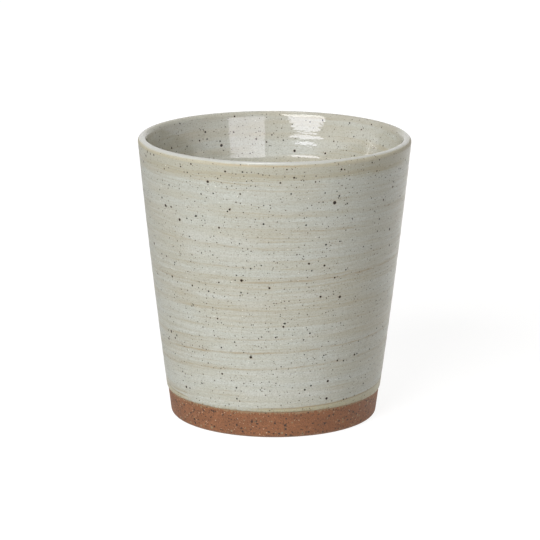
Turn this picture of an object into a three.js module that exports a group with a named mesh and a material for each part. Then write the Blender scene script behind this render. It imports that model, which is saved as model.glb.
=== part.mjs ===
import * as THREE from 'three';

// A coffee mug without a handle: a tapered cup of thrown stoneware, left bare at the foot, with a
// satin glaze outside and a glossy liner glaze inside and over the lip.
// Millimetres, +Z up. The origin is the centre of the foot, on the table.

// Outside
const mugHeight = 89.5; // table to the top of the glazed lip
const rimRadius = 43; // glazed wall, where the lip starts to round over
const footRadius = 32.6; // bare clay, where the line of the wall meets the table
const wallBow = 0.43; // how far the wall swells out from a straight line
const footEdgeRound = 1.4; // worn edge between the wall and the foot ring

// Lip, in clay: a crown that is rounded wide outside and tight inside
const lipOuterRound = 1.4;
const lipInnerRound = 0.7;
const lipRoundHeight = 1.3;

// Inside, in clay
const wallThickness = 4.5; // below the taper
const lipTaperDepth = 32; // the wall thins to the crown over this depth
const floorThickness = 6;
const floorCornerRadius = 9;

// Underside
const footRingWidth = 6; // bare ring that the mug stands on
const footRecessDepth = 1.5; // hollow trimmed out inside the ring

// Glazes
const glazeThickness = 0.32;
const glazeLineHeight = 8.7; // the outer glaze starts here, above the bare clay
const glazeBeadHeight = 1; // its edge swells to full thickness over this height

// Colours and finishes
const clayColour = '#8e664a';
const outerGlazeColour = '#bcbbaf';
const linerGlazeColour = '#bfbfb4';
const clayRoughness = 0.9;
const outerGlazeRoughness = 0.45;
const linerGlazeRoughness = 0.1;

// Fineness of the facets
const turnSteps = 64;
const wallSteps = 8;
const roundSteps = 4;
const cornerSteps = 6;

const lipThickness = lipOuterRound + lipInnerRound;
const lipTop = mugHeight - glazeThickness;
const lipStart = lipTop - lipRoundHeight;
const floorTop = footRecessDepth + floorThickness;
const quarterTurn = Math.PI / 2;

// The clay's outer wall: a straight taper from foot to lip, swelled by a shallow arc.
function outerRadius(height) {
  const share = height / lipStart;
  const taper = THREE.MathUtils.lerp(footRadius, rimRadius - glazeThickness, share);
  return taper + wallBow * 4 * share * (1 - share);
}

// The clay's inner wall: the wall grows from the crown's thickness to its own, quickest near the lip.
function innerRadius(height) {
  const toGo = Math.max(0, 1 - (lipTop - height) / lipTaperDepth);
  return outerRadius(height) - THREE.MathUtils.lerp(wallThickness, lipThickness, toGo * toGo);
}

// Lean of a wall from upright, in radians, positive where it flares.
function leanAt(radiusAt, height) {
  const reach = 0.5;
  return Math.atan2(radiusAt(height + reach) - radiusAt(height - reach), 2 * reach);
}

// Points from low to high along a wall.
function wallPoints(radiusAt, low, high, steps) {
  const points = [];
  for (let i = 0; i <= steps; i++) {
    const height = THREE.MathUtils.lerp(low, high, i / steps);
    points.push(new THREE.Vector2(radiusAt(height), height));
  }
  return points;
}

// Points on part of a circle, from one angle to another.
function arcPoints(centre, radius, from, to, steps) {
  const points = [];
  for (let i = 0; i <= steps; i++) {
    const angle = THREE.MathUtils.lerp(from, to, i / steps);
    const out = centre.x + radius * Math.cos(angle);
    const up = centre.y + radius * Math.sin(angle);
    points.push(new THREE.Vector2(out, up));
  }
  return points;
}

// The round between a level face and the wall that rises from it, tangent to both.
function cornerPoints(radiusAt, level, radius, steps) {
  const lean = leanAt(radiusAt, level + radius);
  const touchHeight = level + radius * (1 - Math.sin(lean));
  const centre = new THREE.Vector2(radiusAt(touchHeight) - radius * Math.cos(lean), level + radius);
  return arcPoints(centre, radius, -quarterTurn, -lean, steps);
}

// Each point moved out along the outline's normal, by its own thickness.
function coatPoints(outline, thicknesses) {
  return outline.map((point, i) => {
    const before = outline[Math.max(i - 1, 0)];
    const after = outline[Math.min(i + 1, outline.length - 1)];
    const along = after.clone().sub(before).normalize();
    const normal = new THREE.Vector2(along.y, -along.x);
    return point.clone().addScaledVector(normal, thicknesses[i]);
  });
}

// Underside and foot, from the axis out to the glaze line.
function footOutline() {
  const recessRadius = footRadius - footRingWidth;
  const coveCentre = new THREE.Vector2(recessRadius - footRecessDepth, 0);
  const cove = arcPoints(coveCentre, footRecessDepth, quarterTurn, 0, roundSteps);
  const edge = cornerPoints(outerRadius, 0, footEdgeRound, roundSteps);
  return [new THREE.Vector2(0, footRecessDepth), ...cove, ...edge];
}

// Half of the lip, from the wall to the crown: the wall's own line, drawn in as a quarter ellipse, so
// that it leaves the wall without a kink.
function lipHalf(radiusAt, drawnIn) {
  const points = [];
  for (let i = 0; i <= roundSteps; i++) {
    const angle = (quarterTurn * i) / roundSteps;
    const height = lipStart + lipRoundHeight * Math.sin(angle);
    points.push(new THREE.Vector2(radiusAt(height) - drawnIn * (1 - Math.cos(angle)), height));
  }
  return points;
}

// Lip, from its outer side over the crown to its inner side.
function lipOutline() {
  const outer = lipHalf(outerRadius, lipOuterRound);
  const inner = lipHalf(innerRadius, -lipInnerRound).reverse();
  return [...outer, ...inner.slice(1)];
}

// Inner wall and floor, from under the lip down to the axis.
function hollowOutline() {
  const corner = cornerPoints(innerRadius, floorTop, floorCornerRadius, cornerSteps);
  const wall = wallPoints(innerRadius, corner.at(-1).y, lipStart, wallSteps);
  return [...wall.reverse().slice(1), ...corner.reverse().slice(1), new THREE.Vector2(0, floorTop)];
}

// The glazed stretch of the clay, and how thick the outer glaze lies on each of its points.
const bead = [0, 0.1, 0.4, 1].map((share) => ({
  height: glazeLineHeight + share * glazeBeadHeight,
  thickness: glazeThickness * Math.sqrt(1 - (1 - share) ** 2),
}));
const beadWall = bead.map(({ height }) => new THREE.Vector2(outerRadius(height), height));
const wallAboveBead = wallPoints(outerRadius, bead.at(-1).height, lipStart, wallSteps);
const glazedWall = [...beadWall, ...wallAboveBead.slice(1)];
const overLip = [...lipOutline(), ...hollowOutline()];
const glazedClay = [...glazedWall, ...overLip.slice(1)];
const glazeFace = coatPoints(glazedClay, glazedClay.map((point, i) => bead[i]?.thickness ?? glazeThickness));
const meetingPoint = glazedWall.length - 1;

// A closed outline turned round the mug's axis. It runs with the material on its left.
function turnedPiece(name, outline, colour, roughness) {
  const geometry = new THREE.LatheGeometry(outline, turnSteps);
  geometry.rotateX(quarterTurn);
  const material = new THREE.MeshStandardMaterial({ color: colour, roughness, metalness: 0 });
  const piece = new THREE.Mesh(geometry, material);
  piece.name = name;
  return piece;
}

function stonewareBody() {
  return turnedPiece('stoneware_body', [...footOutline(), ...glazedClay], clayColour, clayRoughness);
}

// The outer coat: up its face to the lip, and back down on the clay to the glaze line.
function outerGlaze() {
  const face = glazeFace.slice(0, meetingPoint + 1);
  const back = glazedClay.slice(0, meetingPoint + 1).reverse();
  return turnedPiece('outer_glaze', [...face, ...back], outerGlazeColour, outerGlazeRoughness);
}

// The liner coat: out on the clay from the floor over the lip, and back along its face.
function linerGlaze() {
  const back = glazedClay.slice(meetingPoint).reverse();
  const face = glazeFace.slice(meetingPoint);
  return turnedPiece('liner_glaze', [...back, ...face], linerGlazeColour, linerGlazeRoughness);
}

const mug = new THREE.Group();
mug.add(stonewareBody(), outerGlaze(), linerGlaze());

export default mug;
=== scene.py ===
# %% [markdown]
# # A stoneware mug without a handle
# A potter makes this mug in layers: brown clay is thrown and trimmed on the wheel, the outside is
# glazed down to a line above the foot, and a glossy liner is poured inside and taken over the lip.
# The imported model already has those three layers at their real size, with 64 flat sides. Here each
# layer is turned again with fine steps, given the marks of the hand, and finished.

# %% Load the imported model
import math
import random

import bmesh
import bpy
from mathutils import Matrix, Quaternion, Vector


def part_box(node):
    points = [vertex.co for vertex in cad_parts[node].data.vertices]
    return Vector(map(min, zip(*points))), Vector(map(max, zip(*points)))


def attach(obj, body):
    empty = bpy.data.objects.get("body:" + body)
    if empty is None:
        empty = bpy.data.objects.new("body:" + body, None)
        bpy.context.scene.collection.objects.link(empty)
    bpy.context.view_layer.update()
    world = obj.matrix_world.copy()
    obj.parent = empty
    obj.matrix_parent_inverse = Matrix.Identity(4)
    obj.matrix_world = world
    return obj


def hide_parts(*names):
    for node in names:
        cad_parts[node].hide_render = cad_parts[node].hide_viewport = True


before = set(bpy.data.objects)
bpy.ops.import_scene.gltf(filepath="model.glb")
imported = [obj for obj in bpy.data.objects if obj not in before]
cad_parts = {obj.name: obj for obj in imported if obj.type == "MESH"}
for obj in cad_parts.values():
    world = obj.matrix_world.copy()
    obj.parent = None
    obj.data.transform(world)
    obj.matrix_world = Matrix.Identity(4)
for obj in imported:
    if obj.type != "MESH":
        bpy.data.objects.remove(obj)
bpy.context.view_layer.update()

# %% [markdown]
# ## The outline of the clay
# A thrown mug is a solid of revolution, so all of its form is in one outline, drawn as radius against
# height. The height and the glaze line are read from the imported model, and the other sizes are
# written here once. The wall is a straight taper that swells by less than half a millimetre. That is
# too little to see as a curve, but it keeps the mug from looking like a machined cone.

# %% Sizes of the clay, in metres
MM = 0.001
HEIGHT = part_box("liner_glaze")[1].z
RIM_RADIUS = 43 * MM
FOOT_RADIUS = 32.6 * MM
WALL_BOW = 0.43 * MM
FOOT_EDGE_ROUND = 1.4 * MM
LIP_OUTER_ROUND = 1.4 * MM
LIP_INNER_ROUND = 0.7 * MM
LIP_ROUND_HEIGHT = 1.3 * MM
WALL_THICKNESS = 4.5 * MM
LIP_TAPER_DEPTH = 32 * MM
FLOOR_THICKNESS = 6 * MM
FLOOR_CORNER_RADIUS = 9 * MM
FOOT_RING_WIDTH = 6 * MM
FOOT_RECESS_DEPTH = 1.5 * MM
GLAZE_THICKNESS = 0.32 * MM
GLAZE_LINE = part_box("outer_glaze")[0].z
GLAZE_BEAD_HEIGHT = 1 * MM

LIP_THICKNESS = LIP_OUTER_ROUND + LIP_INNER_ROUND
LIP_TOP = HEIGHT - GLAZE_THICKNESS
LIP_START = LIP_TOP - LIP_ROUND_HEIGHT
FLOOR_TOP = FOOT_RECESS_DEPTH + FLOOR_THICKNESS
print("height", round(HEIGHT / MM, 2), "mm; glaze line", round(GLAZE_LINE / MM, 2), "mm")


# %% Walls and rounds as short functions
def mix(low, high, share):
    return low + (high - low) * share


def outer_radius(height):
    share = height / LIP_START
    taper = mix(FOOT_RADIUS, RIM_RADIUS - GLAZE_THICKNESS, share)
    return taper + WALL_BOW * 4 * share * (1 - share)


def inner_radius(height):
    to_go = max(0, 1 - (LIP_TOP - height) / LIP_TAPER_DEPTH)
    return outer_radius(height) - mix(WALL_THICKNESS, LIP_THICKNESS, to_go**2)


def wall(radius_at, low, high, steps):
    heights = [mix(low, high, i / steps) for i in range(steps + 1)]
    return [(radius_at(height), height) for height in heights]


def arc(centre, radius, start, end, steps):
    angles = [mix(start, end, i / steps) for i in range(steps + 1)]
    return [(centre[0] + radius * math.cos(a), centre[1] + radius * math.sin(a)) for a in angles]


def corner(radius_at, level, radius, steps):
    """The round between a level face and the wall that rises from it."""
    reach = 0.5 * MM
    near = level + radius
    lean = math.atan2(radius_at(near + reach) - radius_at(near - reach), 2 * reach)
    touch = level + radius * (1 - math.sin(lean))
    centre = (radius_at(touch) - radius * math.cos(lean), near)
    return arc(centre, radius, -math.pi / 2, -lean, steps)


wall_under_lip = outer_radius(LIP_START) - inner_radius(LIP_START)
print("clay wall under the lip:", round(wall_under_lip / MM, 2), "mm")

# %% [markdown]
# ## Where the rows of faces go
# Rows are close together where the eye sees the surface, because the throwing marks are real relief
# and need rows to stand on. They are closest near the top of the inner wall: the glossy liner mirrors
# the lamps there, and a mirror shows every flat face. Where one layer lies hidden on another, a few
# rows are enough. That keeps every piece well under 200,000 triangles.

# %% Fine and coarse rows
FINE = 0.45 * MM
MIRROR_FROM = 74 * MM
MIRROR_ROW = 0.25 * MM
DEEP_ROW = 0.55 * MM
HIDDEN_ROWS = 10


def rows_for(length, fine):
    return max(2, round(length / FINE)) if fine else HIDDEN_ROWS


print("rows on the bare wall above the foot:", rows_for(GLAZE_LINE, True))

# %% The foot, from its middle to the glaze line
COVE_ROWS = 6
FOOT_EDGE_ROWS = 8


def foot_stretch():
    recess = FOOT_RADIUS - FOOT_RING_WIDTH
    flat = recess - FOOT_RECESS_DEPTH
    steps = rows_for(flat, True)
    ceiling = [(flat * i / steps, FOOT_RECESS_DEPTH) for i in range(steps)]
    cove = arc((flat, 0), FOOT_RECESS_DEPTH, math.pi / 2, 0, COVE_ROWS)
    edge = corner(outer_radius, 0, FOOT_EDGE_ROUND, FOOT_EDGE_ROWS)
    ring_steps = rows_for(edge[0][0] - recess, True)
    ring = [(mix(recess, edge[0][0], i / ring_steps), 0) for i in range(1, ring_steps)]
    bare = wall(outer_radius, edge[-1][1], GLAZE_LINE, rows_for(GLAZE_LINE, True))
    return ceiling + cove + ring + edge + bare[1:]


print("foot:", len(foot_stretch()), "points")

# %% The glazed wall and the lip
BEAD_SHARES = (0, 0.03, 0.1, 0.22, 0.4, 0.65, 1)
LIP_ROWS = 12
HIDDEN_LIP_ROWS = 4


def glazed_wall(fine):
    bead = [GLAZE_LINE + share * GLAZE_BEAD_HEIGHT for share in BEAD_SHARES]
    rows = rows_for(LIP_START - bead[-1], fine)
    upper = wall(outer_radius, bead[-1], LIP_START, rows)
    return [(outer_radius(height), height) for height in bead] + upper[1:]


def lip_half(radius_at, drawn_in, steps):
    """From the wall to the crown: the wall's own line, drawn in as a quarter ellipse."""
    half_lip = []
    for i in range(steps + 1):
        angle = math.pi / 2 * i / steps
        height = LIP_START + LIP_ROUND_HEIGHT * math.sin(angle)
        half_lip.append((radius_at(height) - drawn_in * (1 - math.cos(angle)), height))
    return half_lip


def lip_stretch(fine):
    steps = LIP_ROWS if fine else HIDDEN_LIP_ROWS
    outer = lip_half(outer_radius, LIP_OUTER_ROUND, steps)
    inner = lip_half(inner_radius, -LIP_INNER_ROUND, steps)
    return outer + inner[::-1][1:]


print("glazed wall:", len(glazed_wall(True)), "points; lip:", len(lip_stretch(True)), "points")


# %% The hollow, from the lip to the middle of the floor
def hollow_stretch(fine):
    round_rows = rows_for(FLOOR_CORNER_RADIUS * math.pi / 2, fine)
    rise = corner(inner_radius, FLOOR_TOP, FLOOR_CORNER_RADIUS, round_rows)
    if fine:
        deep = wall(inner_radius, rise[-1][1], MIRROR_FROM, round((MIRROR_FROM - rise[-1][1]) / DEEP_ROW))
        mirror = wall(inner_radius, MIRROR_FROM, LIP_START, round((LIP_START - MIRROR_FROM) / MIRROR_ROW))
        upright = deep + mirror[1:]
    else:
        upright = wall(inner_radius, rise[-1][1], LIP_START, HIDDEN_ROWS)
    floor_rows = rows_for(rise[0][0], fine)
    floor = [(rise[0][0] * i / floor_rows, FLOOR_TOP) for i in range(floor_rows)]
    return upright[::-1][1:] + rise[::-1][1:] + floor[::-1]


shown = len(hollow_stretch(True))
hidden = len(hollow_stretch(False))
print("hollow:", shown, "points where it shows,", hidden, "where the liner hides it")

# %% [markdown]
# ## A coat of glaze as an offset
# Glaze lies on the clay at an even thickness, so its face is the clay's outline moved out along its
# own normal. At the glaze line the coat swells from nothing in a quarter round, as a dipped edge does
# when it melts. One function serves both coats, and they share the point on the lip where they meet.

# %% The face of both coats
GLAZED_ROWS = len(glazed_wall(True))


def coated(outline, thickness_at):
    """The outline moved out by the glaze's thickness, which changes with height on the glazed wall."""
    face = []
    for i, (radius, height) in enumerate(outline):
        before = outline[max(i - 1, 0)]
        after = outline[min(i + 1, len(outline) - 1)]
        along = Vector((after[0] - before[0], after[1] - before[1])).normalized()
        thickness = thickness_at(height) if i < GLAZED_ROWS else GLAZE_THICKNESS
        face.append((max(0, radius + along.y * thickness), height - along.x * thickness))
    return face


def bead_thickness(height):
    share = min(1, (height - GLAZE_LINE) / GLAZE_BEAD_HEIGHT)
    return GLAZE_THICKNESS * math.sqrt(max(0, 1 - (1 - share) ** 2))


clay_under_glaze = glazed_wall(True) + lip_stretch(True)[1:] + hollow_stretch(True)
glaze_face = coated(clay_under_glaze, bead_thickness)
meeting = GLAZED_ROWS - 1
print("glaze's face:", len(glaze_face), "points; the coats meet at point", meeting)

# %% [markdown]
# ## Steps that the fingers left
# On the inner wall, just under the lip, the fingers left steps of a few hundredths of a millimetre.
# Nobody could see them as a form, but the liner is a mirror. Each step tilts it a little, so the
# reflection of a lamp breaks into bands and a thin line. Below the steps the face stands in by their
# sum, and it eases back to the even coat further down, where the camera doesn't look.

# %% Step the inner face in: middle of a step, half its height, how far in, all in millimetres
FINGER_STEPS = ((81.6, 0.55, 0.022), (79.5, 1.0, 0.033), (76.8, 2.2, 0.05), (75.4, 0.45, 0.034))
EASED_FROM = 48
EASED_TO = 74


def eased(share):
    share = min(1, max(0, share))
    return share * share * (3 - 2 * share)


def stepped_in(height):
    """How far the inner face stands in at a height."""
    level = height / MM
    steps = [step * eased((middle + half - level) / (2 * half)) for middle, half, step in FINGER_STEPS]
    return sum(steps) * eased((level - EASED_FROM) / (EASED_TO - EASED_FROM)) * MM


inner_start = GLAZED_ROWS + len(lip_stretch(True)) - 1
for i in range(inner_start, len(glaze_face)):
    radius, height = glaze_face[i]
    glaze_face[i] = (max(0, radius - stepped_in(height)), height)
print("the inner face stands in by", round(stepped_in(MIRROR_FROM) / MM, 3), "mm below the steps")

# %% [markdown]
# ## Three closed outlines
# The clay's outline runs under both coats, with few rows there. A coat's outline runs along its face
# and back along the clay, so each layer is a closed solid of its own, and neighbours lie face to face.

# %% Close the outlines
clay_outline = foot_stretch() + glazed_wall(False)[1:] + lip_stretch(False)[1:] + hollow_stretch(False)
outer_outline = glaze_face[: meeting + 1] + glazed_wall(False)[::-1]
liner_back = (lip_stretch(False) + hollow_stretch(False))[::-1]
liner_outline = liner_back + glaze_face[meeting:]
for label, outline in (("clay", clay_outline), ("outer", outer_outline), ("liner", liner_outline)):
    print(label, "outline:", len(outline), "points")

# %% [markdown]
# ## Laying nodes from a script
# The wheel that turns an outline is a Geometry Nodes tree, and the finishes are shader trees. Both are
# built by the same few helpers: lay puts one node down, links its inputs and hands back its output,
# so a tree reads as a list of steps.

# %% Helpers that lay nodes
def lay(tree, kind, wires, out=0, **settings):
    node = tree.nodes.new(kind)
    for name, value in settings.items():
        setattr(node, name, value)
    for key, value in wires.items():
        socket = node.inputs[key]
        if isinstance(value, bpy.types.NodeSocket):
            tree.links.new(value, socket)
        else:
            socket.default_value = value
    return node.outputs[out]


def sums(tree, operation, *values):
    return lay(tree, "ShaderNodeMath", dict(enumerate(values)), operation=operation)


def vectors(tree, operation, *values):
    return lay(tree, "ShaderNodeVectorMath", dict(enumerate(values)), operation=operation)


def scaled(tree, vector, factor):
    return lay(tree, "ShaderNodeVectorMath", {0: vector, "Scale": factor}, operation="SCALE")


def number_from(tree, operation, *values):
    """A vector operation that answers with a number, such as a length."""
    wires = dict(enumerate(values))
    return lay(tree, "ShaderNodeVectorMath", wires, out="Value", operation=operation)


def point(tree, x, y, z):
    return lay(tree, "ShaderNodeCombineXYZ", {0: x, 1: y, 2: z})


def parts_of(tree, vector):
    return lay(tree, "ShaderNodeSeparateXYZ", {0: vector}).node.outputs


def between(tree, value, low, high, start=0.0, end=1.0):
    """Goes smoothly from start to end as value goes from low to high."""
    wires = {0: value, 1: low, 2: high, 3: start, 4: end}
    return lay(tree, "ShaderNodeMapRange", wires, interpolation_type="SMOOTHSTEP")


def cloud(tree, place, detail=2.0, roughness=0.5):
    """Noise about 0.5, whose patches are about one unit of place across."""
    wires = {"Vector": place, "Scale": 1.0, "Detail": detail, "Roughness": roughness}
    return lay(tree, "ShaderNodeTexNoise", wires)


# %% [markdown]
# ## The wheel
# The tree takes an outline, a row of points with radius in X and height in Z, and turns it round.
# It lays a grid with one column for each step of the turn, and each grid point looks its radius and
# height up from the outline by index. Closing the seam and the middle of the floor is then one merge.
# A Screw modifier could turn it too, but here the marks of the hand can follow in the same tree.

# %% The wheel's inputs
wheel = bpy.data.node_groups.new("wheel", "GeometryNodeTree")
WHEEL_INPUTS = (
    ("Outline", "NodeSocketGeometry", None),
    ("Turn Steps", "NodeSocketInt", 288),
    ("Ring Pitch", "NodeSocketFloat", 5 * MM),
    ("Ring Depth", "NodeSocketFloat", 0.0),
    ("Brush Height", "NodeSocketFloat", 1 * MM),
    ("Brush Depth", "NodeSocketFloat", 0.0),
    ("Edge Height", "NodeSocketFloat", 0.0),
    ("Edge Raggedness", "NodeSocketFloat", 0.0),
    ("Finish", "NodeSocketMaterial", None),
)
for label, kind, value in WHEEL_INPUTS:
    socket = wheel.interface.new_socket(label, in_out="INPUT", socket_type=kind)
    if value is not None:
        socket.default_value = value
wheel.interface.new_socket("Mug", in_out="OUTPUT", socket_type="NodeSocketGeometry")
given = wheel.nodes.new("NodeGroupInput").outputs
print("wheel inputs:", [label for label, kind, value in WHEEL_INPUTS])


# %% Values that travel with the outline
def looked_up(value, data_type, index):
    """A value of the outline, read at an index."""
    wires = {"Geometry": given["Outline"], "Value": value, "Index": index}
    return lay(wheel, "GeometryNodeSampleIndex", wires, data_type=data_type)


def attribute(label):
    """A value that travels with each point."""
    return lay(wheel, "GeometryNodeInputNamedAttribute", {"Name": label}, data_type="FLOAT")


def stored(mesh, label, value, data_type, domain):
    """The mesh with one more value kept on its points or corners."""
    wires = {"Geometry": mesh, "Name": label, "Value": value}
    return lay(wheel, "GeometryNodeStoreNamedAttribute", wires, data_type=data_type, domain=domain)


# %% Turn the outline
MERGE_REACH = 0.001 * MM

rows = lay(wheel, "GeometryNodeAttributeDomainSize", {0: given["Outline"]}, component="MESH")
columns = sums(wheel, "ADD", given["Turn Steps"], 1)
grid_wires = {"Size X": 1.0, "Size Y": 1.0, "Vertices X": columns, "Vertices Y": rows}
grid = lay(wheel, "GeometryNodeMeshGrid", grid_wires)
index = lay(wheel, "GeometryNodeInputIndex", {})
column = sums(wheel, "FLOOR", sums(wheel, "DIVIDE", sums(wheel, "ADD", index, 0.5), rows))
row = sums(wheel, "SUBTRACT", index, sums(wheel, "MULTIPLY", column, rows))
turn_share = sums(wheel, "DIVIDE", column, given["Turn Steps"])
turn_angle = sums(wheel, "MULTIPLY", turn_share, 2 * math.pi)

here = lay(wheel, "GeometryNodeInputPosition", {})
drawn = parts_of(wheel, looked_up(here, "FLOAT_VECTOR", row))
x = sums(wheel, "MULTIPLY", drawn[0], sums(wheel, "COSINE", turn_angle))
y = sums(wheel, "MULTIPLY", drawn[0], sums(wheel, "SINE", turn_angle))
on_circle = point(wheel, x, y, drawn[2])
turned = lay(wheel, "GeometryNodeSetPosition", {"Geometry": grid, "Position": on_circle})
for label in ("run", "marks"):
    turned = stored(turned, label, looked_up(attribute(label), "FLOAT", row), "FLOAT", "POINT")
turned = stored(turned, "OFBake", grid.node.outputs["UV Map"], "FLOAT2", "CORNER")
closed = lay(wheel, "GeometryNodeMergeByDistance", {"Geometry": turned, "Distance": MERGE_REACH})
print("wheel so far:", len(wheel.nodes), "nodes")

# %% [markdown]
# ## Throwing rings and brush marks
# A potter's fingers climb the wall while the wheel turns, so the rings inside are one long spiral, and
# their depth comes and goes. Outside, a brush leaves finer, flatter marks. Both move the surface along
# its normal, and both fade where two layers meet, by the weight called marks. The same field could be a
# bump in the finish, but then the edge of a reflection would break and the outline would not.

# %% Throwing rings
RING_PATCH = (25 * MM, 5 * MM)
WANDER_PATCH = (30 * MM, 6 * MM)
WANDER = 3


def stretched(tree, place, across, upright):
    """Place counted in patches that are across wide and upright high."""
    return vectors(tree, "MULTIPLY", place, (1 / across, 1 / across, 1 / upright))


def share_of_turn(noise, turns):
    """Noise about 0.5, made an angle of up to half of turns either way."""
    return sums(wheel, "MULTIPLY", sums(wheel, "SUBTRACT", noise, 0.5), turns * 2 * math.pi)


here_x, here_y, here_z = parts_of(wheel, here)
around = sums(wheel, "ARCTAN2", here_y, here_x)
ring_turns = sums(wheel, "DIVIDE", attribute("run"), given["Ring Pitch"])
wander = share_of_turn(cloud(wheel, stretched(wheel, here, *WANDER_PATCH)), WANDER)
phase = sums(wheel, "ADD", sums(wheel, "MULTIPLY_ADD", ring_turns, 2 * math.pi, around), wander)
ring = sums(wheel, "SINE", phase)
strength = between(wheel, cloud(wheel, stretched(wheel, here, *RING_PATCH)), 0.35, 0.65, 0.1, 1.0)
ring_rise = sums(wheel, "MULTIPLY", sums(wheel, "MULTIPLY", ring, strength), given["Ring Depth"])
print("wheel with rings:", len(wheel.nodes), "nodes")

# %% Brush marks
BRUSH_LENGTH = 16 * MM

brush_rows = sums(wheel, "DIVIDE", 1, given["Brush Height"])
brush_scale = point(wheel, 1 / BRUSH_LENGTH, 1 / BRUSH_LENGTH, brush_rows)
brush = sums(wheel, "SUBTRACT", cloud(wheel, vectors(wheel, "MULTIPLY", here, brush_scale)), 0.5)
rise = sums(wheel, "MULTIPLY_ADD", brush, given["Brush Depth"], ring_rise)
rise = sums(wheel, "MULTIPLY", rise, attribute("marks"))
relief = scaled(wheel, lay(wheel, "GeometryNodeInputNormal", {}), rise)
print("wheel with brush marks:", len(wheel.nodes), "nodes")

# %% [markdown]
# ## A ragged edge and crisp folds
# The edge where the glaze stops isn't cut along a ruler. Points near it are moved up and down by noise,
# which fades out 2 mm higher. Then every face is shaded smooth, apart from edges that fold by more than
# 60 degrees, such as the step from the glaze to the clay. The tree ends in plain, real geometry.

# %% Ragged edge, smooth shading and the finish
EDGE_PATCH = (2 * MM, 1)
EDGE_FADE = 2 * MM
FOLD_ANGLE = math.radians(60)

edge_end = sums(wheel, "ADD", given["Edge Height"], EDGE_FADE)
edge_share = between(wheel, here_z, given["Edge Height"], edge_end, 1.0, 0.0)
edge_wave = sums(wheel, "SUBTRACT", cloud(wheel, stretched(wheel, here, *EDGE_PATCH), 3), 0.5)
edge_rise = sums(wheel, "MULTIPLY", edge_wave, edge_share)
edge_rise = sums(wheel, "MULTIPLY", edge_rise, given["Edge Raggedness"])

moved = vectors(wheel, "ADD", relief, point(wheel, 0, 0, edge_rise))
marked = lay(wheel, "GeometryNodeSetPosition", {"Geometry": closed, "Offset": moved})
smooth = lay(wheel, "GeometryNodeSetShadeSmooth", {"Geometry": marked})
gentle = sums(wheel, "LESS_THAN", lay(wheel, "GeometryNodeInputMeshEdgeAngle", {}), FOLD_ANGLE)
fold_wires = {"Geometry": smooth, "Shade Smooth": gentle}
crisp = lay(wheel, "GeometryNodeSetShadeSmooth", fold_wires, domain="EDGE")
real = lay(wheel, "GeometryNodeRealizeInstances", {"Geometry": crisp})
finished = lay(wheel, "GeometryNodeSetMaterial", {"Geometry": real, "Material": given["Finish"]})
wheel.links.new(finished, wheel.nodes.new("NodeGroupOutput").inputs[0])
print("wheel:", len(wheel.nodes), "nodes")

# %% [markdown]
# ## Three layers from one wheel
# An outline goes to the wheel as a mesh of loose points. Two numbers travel with each point: how far
# along the outline it lies, which spaces the throwing rings, and its marks, the share of the hand's
# relief that it takes. Marks is nothing where a layer lies hidden, at the lines where two layers meet
# and on the ring that stands on the table, so the layers stay closed against each other.
# A modifier doesn't know its inputs by name, only by the identifier that the tree gave each socket.
# Afterwards the modifier's result is kept as a plain mesh, and the outline is thrown away.

# %% Turn an outline into a plain mesh
def runs_along(outline):
    runs = [0.0]
    for before, after in zip(outline, outline[1:]):
        runs.append(runs[-1] + math.dist(before, after))
    return runs


def marks_along(runs, open_stretches, fade):
    marks = [0.0] * len(runs)
    for first, last in open_stretches:
        for i in range(first, last + 1):
            marks[i] = eased(min(runs[i] - runs[first], runs[last] - runs[i]) / fade)
    return marks


def turn(label, outline, open_stretches, fade, settings):
    """A piece turned on the wheel. Marks fade in over a length of fade at each end of a stretch."""
    mesh = bpy.data.meshes.new(label + "_outline")
    mesh.from_pydata([(radius, 0, height) for radius, height in outline], [], [])
    runs = runs_along(outline)
    for name, values in (("run", runs), ("marks", marks_along(runs, open_stretches, fade))):
        mesh.attributes.new(name, "FLOAT", "POINT").data.foreach_set("value", values)
    blank = bpy.data.objects.new(label + "_outline", mesh)
    bpy.context.scene.collection.objects.link(blank)
    modifier = blank.modifiers.new("wheel", "NODES")
    modifier.node_group = wheel
    for name, value in settings.items():
        modifier[wheel.interface.items_tree[name].identifier] = value
    turned_blank = blank.evaluated_get(bpy.context.evaluated_depsgraph_get())
    piece = bpy.data.objects.new(label, bpy.data.meshes.new_from_object(turned_blank))
    piece.data.name = label
    bpy.context.scene.collection.objects.link(piece)
    bpy.data.objects.remove(blank)
    bpy.data.meshes.remove(mesh)
    return piece


# %% Turn the clay
clay_finish = bpy.data.materials.new("bare_clay")
recess_rows = rows_for(FOOT_RADIUS - FOOT_RING_WIDTH - FOOT_RECESS_DEPTH, True)
foot_rows = len(foot_stretch())
bare_rows = rows_for(GLAZE_LINE, True)
clay_open = [(0, recess_rows), (foot_rows - bare_rows - 1, foot_rows - 1)]
clay_marks = {"Ring Pitch": 1.6 * MM, "Ring Depth": 0.02 * MM, "Finish": clay_finish}
clay_body = turn("clay_body", clay_outline, clay_open, fade=1.5 * MM, settings=clay_marks)
print(clay_body.name, len(clay_body.data.polygons), "faces")

# %% Turn the outer coat
outer_finish = bpy.data.materials.new("outer_glaze")
outer_marks = {
    "Turn Steps": 432,
    "Ring Pitch": 7 * MM,
    "Ring Depth": 0.03 * MM,
    "Brush Height": 0.9 * MM,
    "Brush Depth": 0.06 * MM,
    "Edge Height": GLAZE_LINE,
    "Edge Raggedness": 0.5 * MM,
    "Finish": outer_finish,
}
outer_open = [(0, meeting)]
outer_coat = turn("outer_coat", outer_outline, outer_open, fade=2 * MM, settings=outer_marks)
print(outer_coat.name, len(outer_coat.data.polygons), "faces")

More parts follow.
